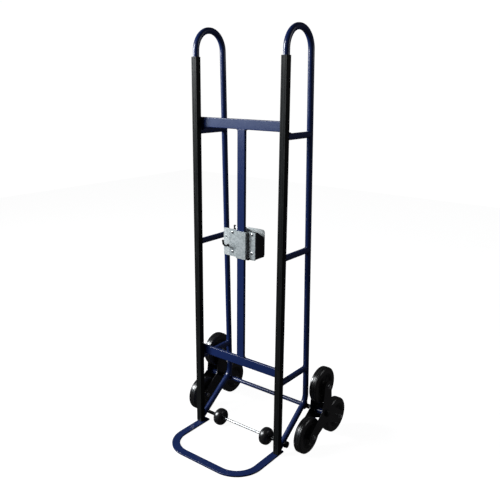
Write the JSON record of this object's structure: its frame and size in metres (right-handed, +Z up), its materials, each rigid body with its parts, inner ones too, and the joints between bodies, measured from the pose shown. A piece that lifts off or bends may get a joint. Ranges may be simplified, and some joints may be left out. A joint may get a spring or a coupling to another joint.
{
  "type": "stair climbing trolley",
  "caption": "Tall hand trolley with looped tube handles, flat toe frame, rotating three-wheel stair clusters and a ratchet strap carriage on a centre bar.",
  "frame": {"origin": "on the floor, at the middle of the footprint: halfway between the toe frame's front edge and the back of the rear wheels, on the trolley's middle plane", "axes": "+X to the right seen from the load side, +Y from the toe frame towards the stair wheels, +Z up along the uprights"},
  "size_m": [0.6762, 0.6478, 1.718],
  "materials": {
    "blue_enamel": "gloss navy powder coat",
    "strip_plastic": "satin black extrusion",
    "black_plastic": "satin black moulding",
    "tyre_rubber": "black rubber",
    "black_steel": "black powder coat",
    "zinc": "bright zinc plate",
    "galvanised": "galvanised sheet, faint spangle",
    "webbing": "woven black webbing"
  },
  "bodies": {
    "frame": {"side_frame_left": "blue_enamel", "rung_top_left": "blue_enamel", "rung_middle_left": "blue_enamel", "rung_bottom_left": "blue_enamel", "edge_strip_left": "strip_plastic", "axle_cap_left": "black_plastic", "small_axle_cap_left": "black_plastic", "small_axle_spacer_left": "black_plastic", "side_frame_right": "blue_enamel", "rung_top_right": "blue_enamel", "rung_middle_right": "blue_enamel", "rung_bottom_right": "blue_enamel", "edge_strip_right": "strip_plastic", "axle_cap_right": "black_plastic", "small_axle_cap_right": "black_plastic", "small_axle_spacer_right": "black_plastic", "cross_bar_top": "blue_enamel", "cross_bar_bottom": "blue_enamel", "centre_bar": "blue_enamel", "toe_frame": "blue_enamel", "main_axle": "blue_enamel", "small_axle": "zinc"},
    "cluster_left": {"cluster_plate_inner_left": "black_steel", "cluster_plate_outer_left": "black_steel", "cluster_hub_left": "blue_enamel", "wheel_bolt_left_1": "zinc", "wheel_bolt_left_2": "zinc", "wheel_bolt_left_3": "zinc"},
    "stair_wheel_left_1": {"tyre_left_1": "tyre_rubber", "rim_left_1": "black_plastic"},
    "stair_wheel_left_2": {"tyre_left_2": "tyre_rubber", "rim_left_2": "black_plastic"},
    "stair_wheel_left_3": {"tyre_left_3": "tyre_rubber", "rim_left_3": "black_plastic"},
    "small_wheel_left": {"small_wheel_left": "tyre_rubber"},
    "cluster_right": {"cluster_plate_inner_right": "black_steel", "cluster_plate_outer_right": "black_steel", "cluster_hub_right": "blue_enamel", "wheel_bolt_right_1": "zinc", "wheel_bolt_right_2": "zinc", "wheel_bolt_right_3": "zinc"},
    "stair_wheel_right_1": {"tyre_right_1": "tyre_rubber", "rim_right_1": "black_plastic"},
    "stair_wheel_right_2": {"tyre_right_2": "tyre_rubber", "rim_right_2": "black_plastic"},
    "stair_wheel_right_3": {"tyre_right_3": "tyre_rubber", "rim_right_3": "black_plastic"},
    "small_wheel_right": {"small_wheel_right": "tyre_rubber"},
    "carriage": {"carriage_front_plate": "galvanised", "carriage_base_plate": "galvanised", "winch_bracket": "galvanised", "winch_cover": "black_plastic", "strap_hook": "black_plastic"},
    "spool": {"ratchet_spool": "black_steel", "belt_roll": "webbing"},
    "lever": {"ratchet_lever": "black_steel", "lever_grip": "black_plastic"},
    "drive_pawl": {"drive_pawl": "black_steel"},
    "holding_pawl": {"holding_pawl": "black_steel", "release_knob": "black_plastic"}
  },
  "joints": [
    {"name": "cluster_left_spin", "type": "hinge", "parent": "frame", "child": "cluster_left", "pos_m": [-0.2939, 0.13624, 0.1415], "axis": [1, 0, 0], "continuous": true},
    {"name": "stair_wheel_left_1_spin", "type": "hinge", "parent": "cluster_left", "child": "stair_wheel_left_1", "pos_m": [-0.2939, 0.13624, 0.2675], "axis": [1, 0, 0], "continuous": true},
    {"name": "stair_wheel_left_2_spin", "type": "hinge", "parent": "cluster_left", "child": "stair_wheel_left_2", "pos_m": [-0.2939, 0.02712, 0.0785], "axis": [1, 0, 0], "continuous": true},
    {"name": "stair_wheel_left_3_spin", "type": "hinge", "parent": "cluster_left", "child": "stair_wheel_left_3", "pos_m": [-0.2939, 0.24536, 0.0785], "axis": [1, 0, 0], "continuous": true},
    {"name": "small_wheel_left_spin", "type": "hinge", "parent": "frame", "child": "small_wheel_left", "pos_m": [-0.1278, -0.03376, 0.038], "axis": [1, 0, 0], "continuous": true},
    {"name": "cluster_right_spin", "type": "hinge", "parent": "frame", "child": "cluster_right", "pos_m": [0.2939, 0.13624, 0.1415], "axis": [1, 0, 0], "continuous": true},
    {"name": "stair_wheel_right_1_spin", "type": "hinge", "parent": "cluster_right", "child": "stair_wheel_right_1", "pos_m": [0.2939, 0.13624, 0.2675], "axis": [1, 0, 0], "continuous": true},
    {"name": "stair_wheel_right_2_spin", "type": "hinge", "parent": "cluster_right", "child": "stair_wheel_right_2", "pos_m": [0.2939, 0.02712, 0.0785], "axis": [1, 0, 0], "continuous": true},
    {"name": "stair_wheel_right_3_spin", "type": "hinge", "parent": "cluster_right", "child": "stair_wheel_right_3", "pos_m": [0.2939, 0.24536, 0.0785], "axis": [1, 0, 0], "continuous": true},
    {"name": "small_wheel_right_spin", "type": "hinge", "parent": "frame", "child": "small_wheel_right", "pos_m": [0.1278, -0.03376, 0.038], "axis": [1, 0, 0], "continuous": true},
    {"name": "carriage_slide", "type": "slide", "parent": "frame", "child": "carriage", "axis": [0, 0, 1], "range_m": [-0.43, 0.4]},
    {"name": "spool_spin", "type": "hinge", "parent": "carriage", "child": "spool", "pos_m": [0.024, -0.01226, 0.87], "axis": [0, 0, 1], "continuous": true},
    {"name": "ratchet_lever_swing", "type": "hinge", "parent": "carriage", "child": "lever", "pos_m": [0.024, -0.01226, 0.9167], "axis": [0, 0, 1], "range_deg": [-3, 28]},
    {"name": "drive_pawl_swing", "type": "hinge", "parent": "lever", "child": "drive_pawl", "pos_m": [-0.00909, 0.00004, 0.9115], "axis": [0, 0, 1], "range_deg": [-15, 15], "stiffness_Nm_per_rad": 0.02},
    {"name": "holding_pawl_swing", "type": "hinge", "parent": "carriage", "child": "holding_pawl", "pos_m": [-0.012, -0.01776, 0.907], "axis": [0, 0, 1], "range_deg": [-12, 0], "stiffness_Nm_per_rad": 0.05}
  ]
}
